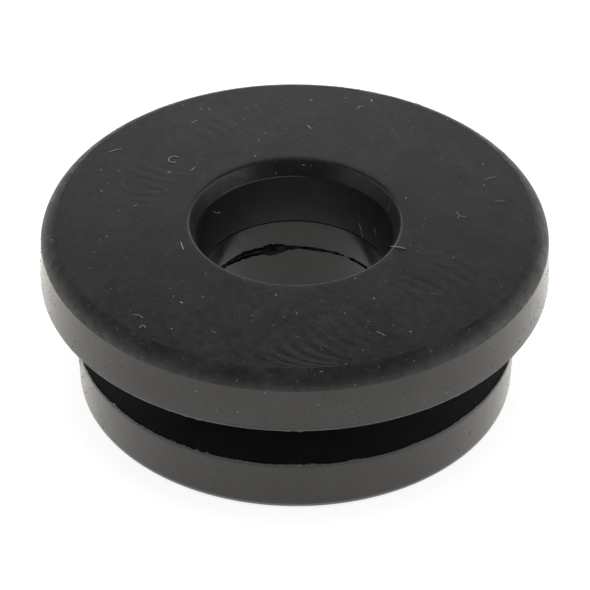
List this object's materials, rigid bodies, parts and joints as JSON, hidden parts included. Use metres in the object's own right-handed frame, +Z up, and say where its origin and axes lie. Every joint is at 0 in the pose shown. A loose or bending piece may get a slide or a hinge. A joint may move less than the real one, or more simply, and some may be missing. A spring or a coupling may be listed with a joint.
{
  "type": "rubber stop",
  "caption": "Round black rubber stop: a head flange with a bevelled rim, a waist groove that snaps into a panel hole, a smaller foot flange and a bore right through it.",
  "frame": {"origin": "centre of the foot flange's underside, on the bore's axis", "axes": "+Z up along the bore's axis, from the foot flange to the head flange; X and Y are equal"},
  "size_m": [0.0252, 0.0252, 0.0094],
  "materials": {
    "rubber": "moulded black rubber, satin, with faint mould marks and dust"
  },
  "bodies": {
    "root": {"rubber_stop": "rubber"}
  },
  "joints": []
}
